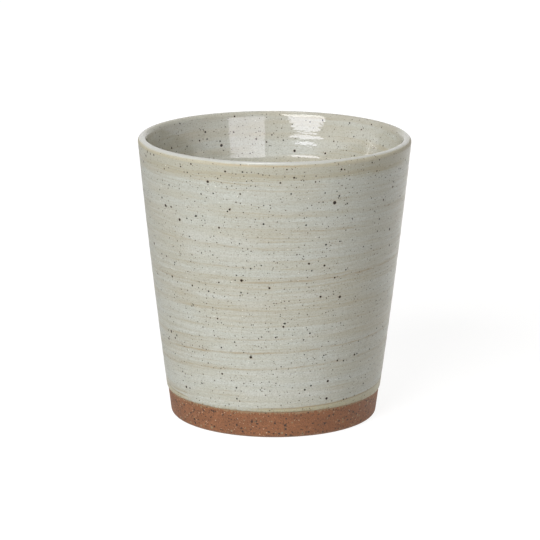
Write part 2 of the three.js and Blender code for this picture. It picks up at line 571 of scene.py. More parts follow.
# %% Turn the liner
liner_finish = bpy.data.materials.new("liner_glaze")
liner_marks = {
    "Ring Pitch": 2.6 * MM,
    "Ring Depth": 0.0015 * MM,
    "Brush Height": 1.2 * MM,
    "Brush Depth": 0.004 * MM,
    "Finish": liner_finish,
}
liner_open = [(len(liner_back), len(liner_outline) - 1)]
liner_coat = turn("liner_coat", liner_outline, liner_open, fade=11 * MM, settings=liner_marks)
print(liner_coat.name, len(liner_coat.data.polygons), "faces")

# %% Measure what the wheel made
for piece in (clay_body, outer_coat, liner_coat):
    measured = bmesh.new()
    measured.from_mesh(piece.data)
    open_edges = sum(not edge.is_manifold for edge in measured.edges)
    volume = measured.calc_volume(signed=True) / MM**3
    triangles = sum(len(face.verts) - 2 for face in measured.faces)
    measured.free()
    print(piece.name, triangles, "triangles,", open_edges, "open edges,", round(volume), "cubic mm")


# %% [markdown]
# ## Camera
# The outline of the mug in the photograph fixes the camera: its height, its distance and its focal
# length were fitted to the rim's ellipse, the foot and the taper between them. It is a long lens from a
# metre away, a little above the mug. It is set up before the finishes, because the spots inside are
# placed along its lines of sight.

# %% Directions from the mug
AIM = Vector((0, 0, 45 * MM))


def toward_place(azimuth, elevation):
    """Direction from the mug. Azimuth goes from the camera's side to the right, in degrees."""
    round_by, up_by = math.radians(azimuth), math.radians(elevation)
    level_reach = math.cos(up_by)
    return Vector((math.sin(round_by) * level_reach, -math.cos(round_by) * level_reach, math.sin(up_by)))


def seen_from(azimuth, elevation, distance):
    return AIM + toward_place(azimuth, elevation) * distance


# %% Camera
CAMERA_DISTANCE = 1.012
CAMERA_ELEVATION = 13.659
CAMERA_ROLL = 0.249
camera_data = bpy.data.cameras.new("camera")
camera_data.sensor_width = 36
camera_data.lens = 212.28
camera_data.shift_x = -0.007454
camera_data.shift_y = 0.005452
camera = bpy.data.objects.new("camera", camera_data)
camera.location = seen_from(0, CAMERA_ELEVATION, CAMERA_DISTANCE)
look = (camera.location - AIM).to_track_quat("Z", "Y")
camera.rotation_euler = (look @ Quaternion((0, 0, 1), math.radians(CAMERA_ROLL))).to_euler()
bpy.context.scene.collection.objects.link(camera)
bpy.context.scene.camera = camera
bpy.context.scene.view_settings.view_transform = "Standard"
print("camera stands", [round(value, 3) for value in camera.location], "m from the mug's foot")

# %% [markdown]
# ## Colour by place
# Every pattern on the mug is laid by place, in millimetres, so a speck or a streak is as wide as its
# number says. Colours are written as a screen shows them, from 0 to 255, and turned into the linear
# values that a shader works in.

# %% Colour, place and noise
def tint(red, green, blue):
    """A colour of the screen, from 0 to 255, in a shader's linear values."""
    shares = [value / 255 for value in (red, green, blue)]
    return (*[((share + 0.055) / 1.055) ** 2.4 for share in shares], 1)


def place_in_mm(tree):
    """The point that is shaded, in millimetres from the middle of the foot."""
    return scaled(tree, lay(tree, "ShaderNodeTexCoord", {}, out="Object"), 1 / MM)


def blend(tree, share, low, high):
    """A colour between low and high, by share."""
    return lay(tree, "ShaderNodeMix", {0: share, 6: low, 7: high}, out=2, data_type="RGBA")


def mixed(tree, share, low, high):
    """A number between low and high, by share."""
    return lay(tree, "ShaderNodeMix", {0: share, 2: low, 3: high})


def share_of(tree, mask, share):
    return sums(tree, "MULTIPLY", mask, share)


def wobbled(tree, place, reach, size):
    """Place shifted by up to about reach, in waves of about size."""
    wires = {"Vector": scaled(tree, place, 1 / size), "Scale": 1.0, "Detail": 2.0}
    colour = lay(tree, "ShaderNodeTexNoise", wires, out="Color")
    shift = vectors(tree, "SUBTRACT", colour, (0.5, 0.5, 0.5))
    return vectors(tree, "ADD", place, scaled(tree, shift, 2 * reach))


print("half grey on the screen is", round(tint(128, 128, 128)[0], 3), "in linear light")


# %% Bands, specks and spots
def banded(tree, colour, place, bands):
    """The colour with bands of noise over it: width, height, range of noise, strength, tone, shift."""
    for across, upright, low, high, strength, tone, offset in bands:
        shifted = vectors(tree, "ADD", place, offset)
        band = between(tree, cloud(tree, stretched(tree, shifted, across, upright), 3), low, high)
        colour = blend(tree, share_of(tree, band, strength), colour, tone)
    return colour


def specks(tree, place, cell, radius, share):
    """1 in round specks of up to radius, of which a share of the cells holds one."""
    wires = {"Vector": scaled(tree, place, 1 / cell), "Scale": 1.0}
    distance = lay(tree, "ShaderNodeTexVoronoi", wires)
    chance = parts_of(tree, distance.node.outputs["Color"])
    edge = between(tree, chance[0], 0, 1, 0.45 * radius / cell, radius / cell)
    inside = between(tree, sums(tree, "DIVIDE", distance, edge), 0.7, 1.1, 1.0, 0.0)
    return sums(tree, "MULTIPLY", inside, sums(tree, "LESS_THAN", chance[1], share))


def sown(tree, colour, place, sizes, level=1.0):
    """The colour with specks over it: cell, radius, share of cells, strength, shade, shift."""
    for cell, radius, share, strength, shade, offset in sizes:
        found = specks(tree, vectors(tree, "ADD", place, offset), cell, radius, share)
        colour = blend(tree, share_of(tree, found, strength * level), colour, tint(*shade))
    return colour


FAR_AWAY = 100.0


def nearest_spot(tree, place, spots, radius_at):
    """Distance from the nearest listed spot, in units of that spot's own radius."""
    nearest = FAR_AWAY
    for angle, height, width in spots:
        turned_to = math.radians(angle)
        radius = radius_at(height * MM) / MM
        centre = (radius * math.sin(turned_to), -radius * math.cos(turned_to), height)
        gap = number_from(tree, "DISTANCE", place, centre)
        nearest = sums(tree, "MINIMUM", nearest, sums(tree, "DIVIDE", gap, width / 2))
    return nearest


# %% Start a finish, and bump it
def start_finish(material):
    """Empties a material's tree and lays its shader and output."""
    material.use_nodes = True
    tree = material.node_tree
    tree.nodes.clear()
    shader = tree.nodes.new("ShaderNodeBsdfPrincipled")
    output = tree.nodes.new("ShaderNodeOutputMaterial")
    tree.links.new(shader.outputs[0], output.inputs["Surface"])
    return tree, shader


def relief_of(tree, height, depth):
    """A normal that is bumped by height, whose range of 0 to 1 stands for depth in millimetres."""
    wires = {"Strength": 1.0, "Distance": depth * MM, "Height": height}
    return lay(tree, "ShaderNodeBump", wires)


# %% [markdown]
# ## Bare clay
# Brown stoneware fires to a dry, granular surface: warm brown, with dark grains of iron, grey-green
# grains of grog and a few white ones. Sand at the surface gives it a fine tooth. The lowest millimetre
# of the foot is painted paler, as painted light from the white floor on its bottom edge, and just under
# the glaze the clay is stained in upright teeth.

# %% Grounds and grains of the bare clay
CLAY_GRAINS = (
    (1.6, 0.46, 0.6, 0.7, (142, 130, 100), (0, 0, 0)),
    (1.0, 0.22, 0.6, 0.9, (196, 168, 138), (13, 5, 7)),
    (0.9, 0.31, 0.9, 0.8, (64, 43, 32), (3, 29, 11)),
    (1.5, 0.44, 0.9, 0.95, (42, 30, 23), (17, 2, 23)),
)
clay, clay_shader = start_finish(clay_finish)
clay_place = wobbled(clay, place_in_mm(clay), 0.15, 0.6)
clay_cloud = between(clay, cloud(clay, stretched(clay, clay_place, 9, 4), 3), 0.35, 0.65)
clay_colour = blend(clay, clay_cloud, tint(128, 82, 51), tint(142, 92, 58))
clay_grain = between(clay, cloud(clay, scaled(clay, clay_place, 1 / 0.45), 4, 0.65), 0.36, 0.64)
clay_colour = blend(clay, share_of(clay, clay_grain, 0.7), clay_colour, tint(97, 62, 40))
fine_tooth = between(clay, cloud(clay, scaled(clay, clay_place, 1 / 0.2), 2), 0.48, 0.66)
clay_colour = blend(clay, share_of(clay, fine_tooth, 0.5), clay_colour, tint(166, 114, 78))
clay_colour = sown(clay, clay_colour, clay_place, CLAY_GRAINS)
print("clay so far:", len(clay.nodes), "nodes")

# %% Painted floor light on the foot, stained teeth and tooth of the clay
TEETH_WIDTH = 0.6
TEETH_REACH = 2.4

clay_z = parts_of(clay, clay_place)[2]
# Painted light: the bottom edge of the foot is lightened, as if the white floor lit it from below.
painted_floor_light = between(clay, clay_z, 0.3, 1.1, 0.6, 0.0)
clay_colour = blend(clay, painted_floor_light, clay_colour, tint(166, 128, 98))
comb = cloud(clay, stretched(clay, place_in_mm(clay), TEETH_WIDTH, 2), 1)
line_height = sums(clay, "MULTIPLY_ADD", comb, -TEETH_REACH, GLAZE_LINE / MM + 0.7)
stained = between(clay, sums(clay, "SUBTRACT", clay_z, line_height), -0.12, 0.12)
clay_colour = blend(clay, share_of(clay, stained, 0.8), clay_colour, tint(146, 122, 92))
clay.links.new(clay_colour, clay_shader.inputs["Base Color"])
clay_shader.inputs["Roughness"].default_value = 0.6
clay_shader.inputs["Specular IOR Level"].default_value = 0.5
clay.links.new(relief_of(clay, clay_grain, 0.05), clay_shader.inputs["Normal"])
print("bare clay:", len(clay.nodes), "nodes")

# %% [markdown]
# ## Brushed glaze outside
# The outer glaze is a satin grey-green that breaks to tan where it lies thin and to a bluish white
# where it pools. It went on while the mug turned, so the colour lies in nearly level bands that run
# right round. Stretched noise gives the bands that nobody placed: broad pools, thinner veils, and lines
# as fine as a bristle. Low down they climb to the right, and near the lip they fall a little.

# %% Colours of the glaze
GLAZE = tint(175, 175, 163)
POOLED = tint(179, 182, 174)
THIN = tint(167, 159, 137)
GREENISH = tint(180, 174, 144)
BRISTLE = tint(154, 140, 112)
GRAINY = tint(149, 147, 134)
PALE = tint(188, 191, 185)
print("glaze in linear light:", [round(value, 3) for value in GLAZE[:3]])

# %% Bands that run round the wall
GLAZE_BANDS = (
    (45, 5.0, 0.42, 0.58, 1.0, POOLED, (0, 0, 0)),
    (60, 2.6, 0.5, 0.66, 0.42, THIN, (50, 9, 0)),
    (45, 0.9, 0.52, 0.66, 0.32, THIN, (7, 70, 3)),
    (32, 0.8, 0.5, 0.64, 0.45, PALE, (90, 4, 8)),
    (24, 0.32, 0.52, 0.64, 0.22, BRISTLE, (21, 33, 5)),
    (15, 0.28, 0.53, 0.66, 0.4, PALE, (44, 12, 71)),
    (5, 0.26, 0.5, 0.72, 0.24, BRISTLE, (3, 8, 40)),
)
outer, outer_shader = start_finish(outer_finish)
glaze_place = wobbled(outer, place_in_mm(outer), 0.3, 6)
glaze_x, glaze_y, glaze_z = parts_of(outer, glaze_place)
slope = between(outer, glaze_z, 54, 66, 0.035, -0.02)
level = sums(outer, "SUBTRACT", glaze_z, sums(outer, "MULTIPLY", glaze_x, slope))
level_place = point(outer, glaze_x, glaze_y, level)
glaze_colour = banded(outer, GLAZE, level_place, GLAZE_BANDS)
print("outer glaze with its bands:", len(outer.nodes), "nodes")

# %% [markdown]
# ## Strokes that were placed
# A few lines stand out, where a hair of the brush or a grain under the tool drew a thin brown line with
# a soft tan border. They are placed one by one with a small shader group. It measures how far a point
# lies above or below a line that climbs round the mug, and answers with a share from 0 to 1. The pale
# pools where the glaze lay thick are the same strokes, only wider and in a pale colour.

# %% A shader group for one stroke
FADE_ANGLE = 0.3

stroke = bpy.data.node_groups.new("stroke", "ShaderNodeTree")
STROKE_INPUTS = ("Angle", "Height", "Middle", "Climb", "Start", "End", "Width", "Strength")
for label in STROKE_INPUTS:
    stroke.interface.new_socket(label, in_out="INPUT", socket_type="NodeSocketFloat")
stroke.interface.new_socket("Share", in_out="OUTPUT", socket_type="NodeSocketFloat")
asked = stroke.nodes.new("NodeGroupInput").outputs
line = sums(stroke, "MULTIPLY_ADD", asked["Angle"], asked["Climb"], asked["Middle"])
off = sums(stroke, "ABSOLUTE", sums(stroke, "SUBTRACT", asked["Height"], line))
off = sums(stroke, "DIVIDE", off, asked["Width"])
core = between(stroke, off, 0.2, 1.0, 0.55, 0.0)
border = between(stroke, off, 0.0, 4.0, 0.3, 0.0)
start_done = sums(stroke, "ADD", asked["Start"], FADE_ANGLE)
end_near = sums(stroke, "SUBTRACT", asked["End"], FADE_ANGLE)
first_end = between(stroke, asked["Angle"], asked["Start"], start_done)
last_end = between(stroke, asked["Angle"], end_near, asked["End"], 1.0, 0.0)
along = share_of(stroke, share_of(stroke, first_end, last_end), asked["Strength"])
whole = share_of(stroke, sums(stroke, "ADD", core, border), along)
stroke.links.new(whole, stroke.nodes.new("NodeGroupOutput").inputs[0])
print("stroke:", len(stroke.nodes), "nodes")

# %% Strokes: height in front, climb per radian, start, end, half width, strength
STROKES = (
    (79.5, 0.0, -40, -12, 0.4, 0.3), (76.9, 0.6, -6, 54, 0.6, 0.45), (75.0, 0.0, -85, -45, 0.5, 0.3),
    (72.1, 0.0, 36, 88, 0.4, 0.6), (71.9, 0.0, -30, 14, 0.5, 0.3), (68.0, -0.95, -30, 55, 0.5, 0.55),
    (64.2, 0.0, -26, 12, 0.4, 0.25), (62.0, -1.4, -55, 18, 0.4, 0.6), (56.8, 2.0, 36, 90, 0.5, 0.4),
    (56.2, 0.8, -66, 2, 0.4, 0.5), (51.4, 1.5, -20, 95, 0.5, 0.95), (49.2, -0.7, -88, 5, 0.6, 0.45),
    (42.0, 0.3, -88, 12, 0.8, 0.4), (38.6, 0.2, -48, 8, 0.35, 0.45), (32.9, 1.9, -85, 18, 0.4, 0.5),
    (28.5, 1.75, -76, 95, 0.45, 0.9), (23.2, 1.9, -95, 95, 0.45, 0.65), (11.3, 0.0, -92, -40, 0.3, 0.9),
    (10.0, 0.0, 15, 95, 0.25, 0.6), (10.7, 0.25, 28, 95, 0.25, 0.7), (82.0, 0.0, -74, -42, 1.0, 0.35),
    (79.4, 0.0, -20, 6, 0.8, 0.35), (38.2, 0.0, -76, -40, 0.9, 0.4), (28.4, 0.0, -78, -22, 0.9, 0.35),
    (27.4, 0.6, 26, 66, 1.5, 0.3), (37.6, 0.4, 28, 70, 1.6, 0.25),
)
POOLS = (
    (64.2, 0.0, -54, 0, 2.4, 0.8), (59.6, 0.0, -50, 8, 1.3, 0.5), (46.0, 0.0, -50, -10, 1.0, 0.9),
    (46.8, 0.0, 2, 34, 1.0, 0.7), (43.8, 0.0, -24, 4, 1.1, 0.7), (21.6, 0.3, -26, 34, 1.2, 0.7),
    (14.9, 0.0, -26, 38, 1.7, 0.8),
)
print(len(STROKES), "strokes and", len(POOLS), "pools in front")

# %% Strokes at the back, from a seeded draw
REAR_WIDTH = 0.45
REAR_STRENGTH = 0.6

draw = random.Random(7)
REAR_STROKES = []
for side in (-1, 1):
    for height in range(16, 80, 9):
        ends = sorted(side * draw.uniform(95, 178) for _ in range(2))
        middle, climb = height + draw.uniform(-4, 4), draw.uniform(-1, 1)
        REAR_STROKES.append((middle, climb, *ends, REAR_WIDTH, REAR_STRENGTH))
print(len(REAR_STROKES), "strokes at the back")

# %% Draw pools and strokes on the wall
glaze_angle = sums(outer, "ARCTAN2", glaze_x, sums(outer, "MULTIPLY", glaze_y, -1))


def drawn_strokes(placed):
    """The share of a colour that a row of strokes lays on the wall."""
    total = 0.0
    for middle, climb, start, end, width, strength in placed:
        node = outer.nodes.new("ShaderNodeGroup")
        node.node_tree = stroke
        numbers = (middle, climb, math.radians(start), math.radians(end), width, strength)
        for label, value in zip(STROKE_INPUTS[2:], numbers):
            node.inputs[label].default_value = value
        outer.links.new(glaze_angle, node.inputs["Angle"])
        outer.links.new(glaze_z, node.inputs["Height"])
        total = sums(outer, "ADD", total, node.outputs[0])
    return total


glaze_colour = blend(outer, drawn_strokes(POOLS), glaze_colour, PALE)
strokes = drawn_strokes((*STROKES, *REAR_STROKES))
patchy = between(outer, cloud(outer, stretched(outer, level_place, 5, 0.6), 3), 0.3, 0.65, 0.35, 1.0)
glaze_colour = blend(outer, share_of(outer, strokes, patchy), glaze_colour, BRISTLE)
print("outer glaze with its strokes:", len(outer.nodes), "nodes")

# %% [markdown]
# ## Rim and foot of the coat
# Under the lip the glaze ran thin, so a tan band goes round. Its lower border is soft and wanders, its
# top goes back to the glaze's own tone, and it is weaker at the far sides and a little stronger to the
# right. Low down the coat is painted a little lighter, as painted light for the lower wall, which the
# lamps light less. Above the bare clay a greenish band shows where it was wiped. The band's upper edge
# is a little aslant, and on one stretch it runs out. At the glaze line itself the clay stains the last
# half millimetre brown, in fine upright teeth, and the glaze over them is yellowed.

# %% Rim band
rim_wander = cloud(outer, stretched(outer, glaze_place, 20, 9))
rim_edge = sums(outer, "MULTIPLY_ADD", rim_wander, 3, glaze_z)
rim_hairs = cloud(outer, stretched(outer, glaze_place, 18, 0.5), 3)
rim_edge = sums(outer, "MULTIPLY_ADD", sums(outer, "SUBTRACT", rim_hairs, 0.5), 4, rim_edge)
rim_band = between(outer, rim_edge, 84.6, 86.4)
rim_share = between(outer, sums(outer, "ABSOLUTE", glaze_x), 38.5, 41.5, 0.75, 0.35)
rim_share = sums(outer, "ADD", rim_share, between(outer, glaze_x, 12, 28, 0.0, 0.2))
glaze_colour = blend(outer, share_of(outer, rim_band, rim_share), glaze_colour, tint(162, 155, 131))
upper_share = between(outer, rim_edge, 86.4, 88.0, 0.0, 0.6)
glaze_colour = blend(outer, upper_share, glaze_colour, GLAZE)
print("outer glaze with its rim band:", len(outer.nodes), "nodes")

# %% Painted light low down, foot band and stained edge
# Painted light: the wall is lightened low down, fading out by 75 mm, where the lamps light it less.
glaze_colour = scaled(outer, glaze_colour, between(outer, glaze_z, 12, 75, 1.06, 1.0))
foot_tilt = sums(outer, "MULTIPLY_ADD", glaze_y, -0.053, glaze_z)
foot_tilt = sums(outer, "MULTIPLY_ADD", glaze_x, -0.02, foot_tilt)
right_stretch = between(outer, glaze_x, -12, 2)
left_stretch = between(outer, glaze_x, -30, -25, 1.0, 0.0)
wiped = sums(outer, "MAXIMUM", right_stretch, left_stretch)
foot_band = share_of(outer, between(outer, foot_tilt, 11.6, 12.0, 1.0, 0.0), wiped)
glaze_colour = blend(outer, share_of(outer, foot_band, 0.85), glaze_colour, GREENISH)
foot_line = share_of(outer, between(outer, foot_tilt, 11.3, 11.7), foot_band)
glaze_colour = blend(outer, share_of(outer, foot_line, 1.4), glaze_colour, BRISTLE)
teeth = cloud(outer, stretched(outer, place_in_mm(outer), TEETH_WIDTH, 2), 1)
stain_top = sums(outer, "MULTIPLY_ADD", teeth, TEETH_REACH, GLAZE_LINE / MM - 0.9)
above_stain = sums(outer, "SUBTRACT", glaze_z, stain_top)
stain = between(outer, above_stain, -0.35, 0.0, 0.8, 0.0)
glaze_colour = blend(outer, stain, glaze_colour, tint(142, 121, 90))
yellowed = between(outer, above_stain, 0.1, 1.0, 0.4, 0.0)
glaze_colour = blend(outer, yellowed, glaze_colour, tint(172, 162, 130))
print("outer glaze with its foot:", len(outer.nodes), "nodes")

# %% [markdown]
# ## Specks of iron
# The clay under the glaze is full of iron, and it melts through as specks, from dust to pinheads. A
# Voronoi texture drops one point in each cell of space. The wall cuts through a ball round each point,
# so the specks come in all sizes, and a wobble of the place makes them irregular.

# %% Fine grain and specks in a glaze
GLAZE_SPECKS = (
    (1.7, 0.18, 0.6, 0.8, (222, 222, 212), (40, 0, 0)),
    (0.65, 0.15, 0.9, 0.6, (106, 93, 70), (0, 0, 0)),
    (1.15, 0.245, 0.82, 0.9, (58, 47, 34), (31, 17, 5)),
    (2.1, 0.36, 0.45, 0.97, (26, 20, 14), (5, 61, 9)),
)


def specked(tree, colour, place, level):
    """The glaze's colour with its grain, its white specks and three sizes of iron specks."""
    fine = between(tree, cloud(tree, stretched(tree, place, 0.5, 0.36), 3, 0.6), 0.4, 0.7)
    colour = blend(tree, share_of(tree, fine, 0.58 * level), colour, GRAINY)
    return sown(tree, colour, place, GLAZE_SPECKS, level)


spot_place = wobbled(outer, place_in_mm(outer), 0.1, 0.5)
glaze_colour = specked(outer, glaze_colour, spot_place, 1.0)
print("outer glaze with its specks:", len(outer.nodes), "nodes")

# %% [markdown]
# ## Large iron spots
# Here and there a grain of iron as wide as a pinhead melts through the glaze and leaves a black spot
# with a brown edge. The largest on the front are where the photograph shows them, by angle round the
# mug and by height. The rest of the wall gets its own from a seeded draw.

# %% Large iron spots: angle, height, width
FRONT_SPOTS = (
    (26, 76.2, 1.0), (-54, 72.2, 0.8), (-50, 72.3, 0.6), (-45, 68.8, 0.8), (-28.5, 82.5, 0.75),
    (-20.4, 86.3, 0.55), (-14.2, 79.5, 0.5), (-19, 74.3, 0.6), (-24.2, 68.2, 0.55), (8, 84.9, 0.55),
    (28.3, 86.6, 0.6), (53.8, 74.3, 0.6), (60.4, 77.6, 0.6), (62, 63.8, 0.8), (63.8, 58.3, 0.65),
    (-69.8, 57.7, 0.8), (15.5, 57.3, 0.6), (22.8, 56.3, 0.6), (-57.3, 55.4, 0.5), (-14.7, 51.8, 0.75),
    (-25.6, 50.5, 0.5), (-2, 49.7, 0.6), (-54.2, 49.3, 0.65), (-40.5, 48.1, 0.55), (28.3, 52, 0.5),
    (-69.8, 47.9, 0.6), (21.7, 46.3, 0.65), (31.7, 45.5, 0.8), (4.5, 37.1, 0.6), (-27.3, 38.6, 0.5),
    (-60.7, 30.4, 0.8), (-57.2, 28.8, 0.6), (-64.8, 27.4, 0.7), (-11.2, 26.9, 0.75), (44, 25.3, 0.65),
    (33.2, 24.5, 0.55), (-26.6, 20.5, 0.55), (28.5, 18.1, 0.7), (-52, 13.3, 0.7), (28.5, 12.3, 0.75),
    (-66.3, 87.6, 0.6), (-63.2, 87.4, 0.5), (-60, 87.5, 0.65), (-68.5, 86, 0.75), (-73, 83.5, 0.7),
    (-36.3, 87.4, 0.5), (44, 87.3, 0.5), (5, 87.5, 0.4), (29.8, 86.4, 0.4), (47.3, 84.3, 0.45),
    (2.4, 83.3, 0.5), (17, 83.3, 0.45), (-52.5, 84.1, 0.45), (-42, 86, 0.45), (-23.8, 83.9, 0.4),
)
REAR_SPOTS = [(draw.uniform(78, 282), draw.uniform(12, 87), draw.uniform(0.5, 0.85)) for _ in range(40)]
print(len(FRONT_SPOTS), "spots in front and", len(REAR_SPOTS), "at the back")


# %% Black spots with a brown edge
def spotted(tree, colour, place, spots, radius_at):
    """The colour with a black core in each spot and a brown halo round it."""
    nearest = nearest_spot(tree, place, spots, radius_at)
    halo = between(tree, nearest, 1.0, 1.7, 0.4, 0.0)
    colour = blend(tree, halo, colour, tint(142, 110, 70))
    core = between(tree, nearest, 0.96, 1.18, 1.0, 0.0)
    return blend(tree, core, colour, tint(26, 14, 3))


def outer_face(height):
    return outer_radius(height) + GLAZE_THICKNESS


glaze_colour = spotted(outer, glaze_colour, spot_place, (*FRONT_SPOTS, *REAR_SPOTS), outer_face)
outer.links.new(glaze_colour, outer_shader.inputs["Base Color"])
print("outer glaze with its spots:", len(outer.nodes), "nodes")

# %% [markdown]
# ## Sheen of the outer glaze
# A satin glaze mirrors softly. Its roughness changes a little along the brush marks, so a highlight is
# streaky, and a shallow bump of grain and hairs keeps it from looking like plastic.

# %% Sheen and skin of the outer glaze
hairs = cloud(outer, stretched(outer, level_place, 14, 0.35), 3)
outer.links.new(between(outer, hairs, 0.3, 0.7, 0.3, 0.42), outer_shader.inputs["Roughness"])
skin = cloud(outer, scaled(outer, glaze_place, 1 / 0.7), 3)
outer.links.new(relief_of(outer, sums(outer, "ADD", skin, hairs), 0.02), outer_shader.inputs["Normal"])
outer_shader.inputs["Specular IOR Level"].default_value = 0.38
print("outer glaze:", len(outer.nodes), "nodes")

# %% [markdown]
# ## Liner glaze
# The liner is the same glaze, poured and melted to a gloss, so its bands are softer. It comes over the
# lip, where it lies pale and smooth. On the outer side of the lip it runs thin: an ochre line marks the
# edge, and under it the tan band of the rim begins.

# %% Bands of the liner, with a painted reflection low down
MELTED = tint(178, 177, 165)
MELTED_POOL = tint(189, 192, 186)
MELTED_THIN = tint(177, 168, 145)
LINER_BANDS = (
    (30, 5.0, 0.42, 0.62, 0.7, MELTED_POOL, (0, 0, 0)),
    (45, 3.0, 0.48, 0.66, 0.45, MELTED_THIN, (50, 9, 0)),
    (25, 0.7, 0.56, 0.68, 0.3, BRISTLE, (7, 70, 3)),
)
liner, liner_shader = start_finish(liner_finish)
liner_place = wobbled(liner, place_in_mm(liner), 0.2, 5)
liner_x, liner_y, liner_z = parts_of(liner, liner_place)
liner_colour = banded(liner, MELTED, liner_place, LINER_BANDS)
# Low on the far inner wall the glaze is paler: partly a pale pool of glaze, partly a painted reflection
# that lightens the wall where it lies in shade.
low_reflection_height = between(liner, liner_z, 76, 78, 0.25, 0.0)
low_reflection_side = between(liner, liner_x, -5, 5, 1.0, 0.3)
pale_pool_and_painted_reflection = share_of(liner, low_reflection_height, low_reflection_side)
liner_colour = blend(liner, pale_pool_and_painted_reflection, liner_colour, tint(202, 204, 197))
print("liner with its bands:", len(liner.nodes), "nodes")

# %% Crown of the lip with its painted light, the places where it lies thin, and painted shade on the right
CROWN_RADIUS = (outer_radius(LIP_TOP) - LIP_OUTER_ROUND) / MM
from_axis = number_from(liner, "LENGTH", vectors(liner, "MULTIPLY", liner_place, (1, 1, 0)))
outside = between(liner, from_axis, CROWN_RADIUS + 0.5, CROWN_RADIUS + 0.8)
crown = between(liner, liner_z, 88.3, 88.9)
# Painted light: the crown is made paler in front than at the back.
crown_share_with_painted_light = between(liner, liner_y, -15, 5, 0.8, 0.1)
far_right = share_of(liner, between(liner, liner_x, 0, 18), between(liner, liner_y, 5, 15))
far_right = share_of(liner, share_of(liner, far_right, between(liner, liner_z, 87.2, 88.2)), 0.45)
liner_colour = blend(liner, far_right, liner_colour, tint(162, 152, 130))
# Partly the tan of thin glaze and partly painted shade: the inner wall on the right, below about 86 mm,
# is darkened a little.
thin_tan_and_painted_shade = share_of(liner, between(liner, liner_x, 8, 18), between(liner, liner_z, 85.6, 86.8, 0.2, 0.0))
liner_colour = blend(liner, thin_tan_and_painted_shade, liner_colour, MELTED_THIN)
print("the middle of the lip is", round(CROWN_RADIUS, 2), "mm from the axis")

# %% Ochre line and tan outer side of the lip
edge_wander = cloud(liner, scaled(liner, place_in_mm(liner), 1 / 18), 2)
right_side = between(liner, liner_x, 12, 25)
in_front = between(liner, sums(liner, "ABSOLUTE", sums(liner, "ADD", liner_x, 4)), 8, 18, 1.0, 0.0)
edge_height = sums(liner, "MULTIPLY_ADD", edge_wander, 0.5, 88.75)
edge_height = sums(liner, "MULTIPLY_ADD", right_side, 0.2, edge_height)
above_edge = sums(liner, "SUBTRACT", liner_z, edge_height)
below_crown = share_of(liner, outside, between(liner, above_edge, -0.2, 0.1, 1.0, 0.0))
liner_colour = blend(liner, share_of(liner, below_crown, 0.85), liner_colour, tint(171, 165, 144))
off_line = sums(liner, "ABSOLUTE", sums(liner, "ADD", above_edge, 0.5))
edge_line = share_of(liner, outside, between(liner, off_line, 0.05, 0.4, 1.0, 0.0))
edge_share = sums(liner, "MULTIPLY_ADD", in_front, 0.5, 0.08)
liner_colour = blend(liner, share_of(liner, edge_line, edge_share), liner_colour, tint(154, 135, 100))
print("liner with its edge line:", len(liner.nodes), "nodes")

# %% [markdown]
# ## Specks and gloss of the liner
# The liner has the same specks as the wall, a little weaker. The crown's pale tone is laid over them,
# because the glaze is smooth there and hides its grain, and the large spots come last. The pale tone is
# also painted light, strongest on the front crown, where the lamp overhead lights the lip. The gloss is
# nearly a mirror. It is weaker on the far lip, and rough on the outer side, where the coat is thin.

# %% Spots seen inside, in pixels of the photograph: across, down, and width in millimetres
PHOTO_WIDTH = 540
SIGHT_HALVINGS = 30
SEEN_SPOTS = (
    (221.4, 145.5, 0.85), (205.5, 131.8, 0.6), (199.4, 140.8, 0.55), (172, 148, 0.6), (233, 132.3, 0.5),
    (256.7, 138.8, 0.55), (233.8, 116.2, 0.5), (266.4, 141.8, 0.5), (295.3, 150.6, 0.8),
    (325.5, 153.4, 0.6), (323.5, 120.5, 0.55), (371.9, 124.7, 0.5), (361.5, 129.7, 0.45),
    (374, 147.9, 0.5), (334.4, 141.6, 0.45),
)
LOWER_SPOTS = [(draw.uniform(0, 360), draw.uniform(20, 74), draw.uniform(0.5, 0.85)) for _ in range(24)]


def inner_face(height):
    return inner_radius(height) - GLAZE_THICKNESS


def place_seen(across, down):
    """Angle and height where the line of sight through a pixel meets the far inner wall."""
    sideways = (across / PHOTO_WIDTH - 0.5 + camera_data.shift_x) * camera_data.sensor_width
    upwards = (0.5 - down / PHOTO_WIDTH + camera_data.shift_y) * camera_data.sensor_width
    sight = Vector((sideways, upwards, -camera_data.lens)).normalized()
    sight.rotate(camera.rotation_euler)
    near, far = CAMERA_DISTANCE, CAMERA_DISTANCE + 2 * RIM_RADIUS
    for _ in range(SIGHT_HALVINGS):
        reach = (near + far) / 2
        spot = camera.location + sight * reach
        if math.hypot(spot.x, spot.y) < inner_face(spot.z):
            near = reach
        else:
            far = reach
    return round(math.degrees(math.atan2(spot.x, -spot.y))) % 360, round(spot.z / MM, 1)


INNER_SPOTS = [(*place_seen(across, down), width) for across, down, width in SEEN_SPOTS]
print("spots under the far lip, by angle and height:", [spot[:2] for spot in INNER_SPOTS])

# %% Specks, crown and spots of the liner
liner_spot_place = wobbled(liner, place_in_mm(liner), 0.1, 0.5)
liner_colour = specked(liner, liner_colour, liner_spot_place, 0.9)
crown = share_of(liner, crown, sums(liner, "SUBTRACT", 1, below_crown))
# The crown's pale tone is partly painted light: it is strongest in front, where the lamp overhead lights
# the lip.
liner_colour = blend(liner, share_of(liner, crown, crown_share_with_painted_light), liner_colour, tint(184, 185, 179))
liner_colour = spotted(liner, liner_colour, liner_spot_place, (*INNER_SPOTS, *LOWER_SPOTS), inner_face)
liner.links.new(liner_colour, liner_shader.inputs["Base Color"])
print(len(INNER_SPOTS), "spots under the far lip and", len(LOWER_SPOTS), "lower down")

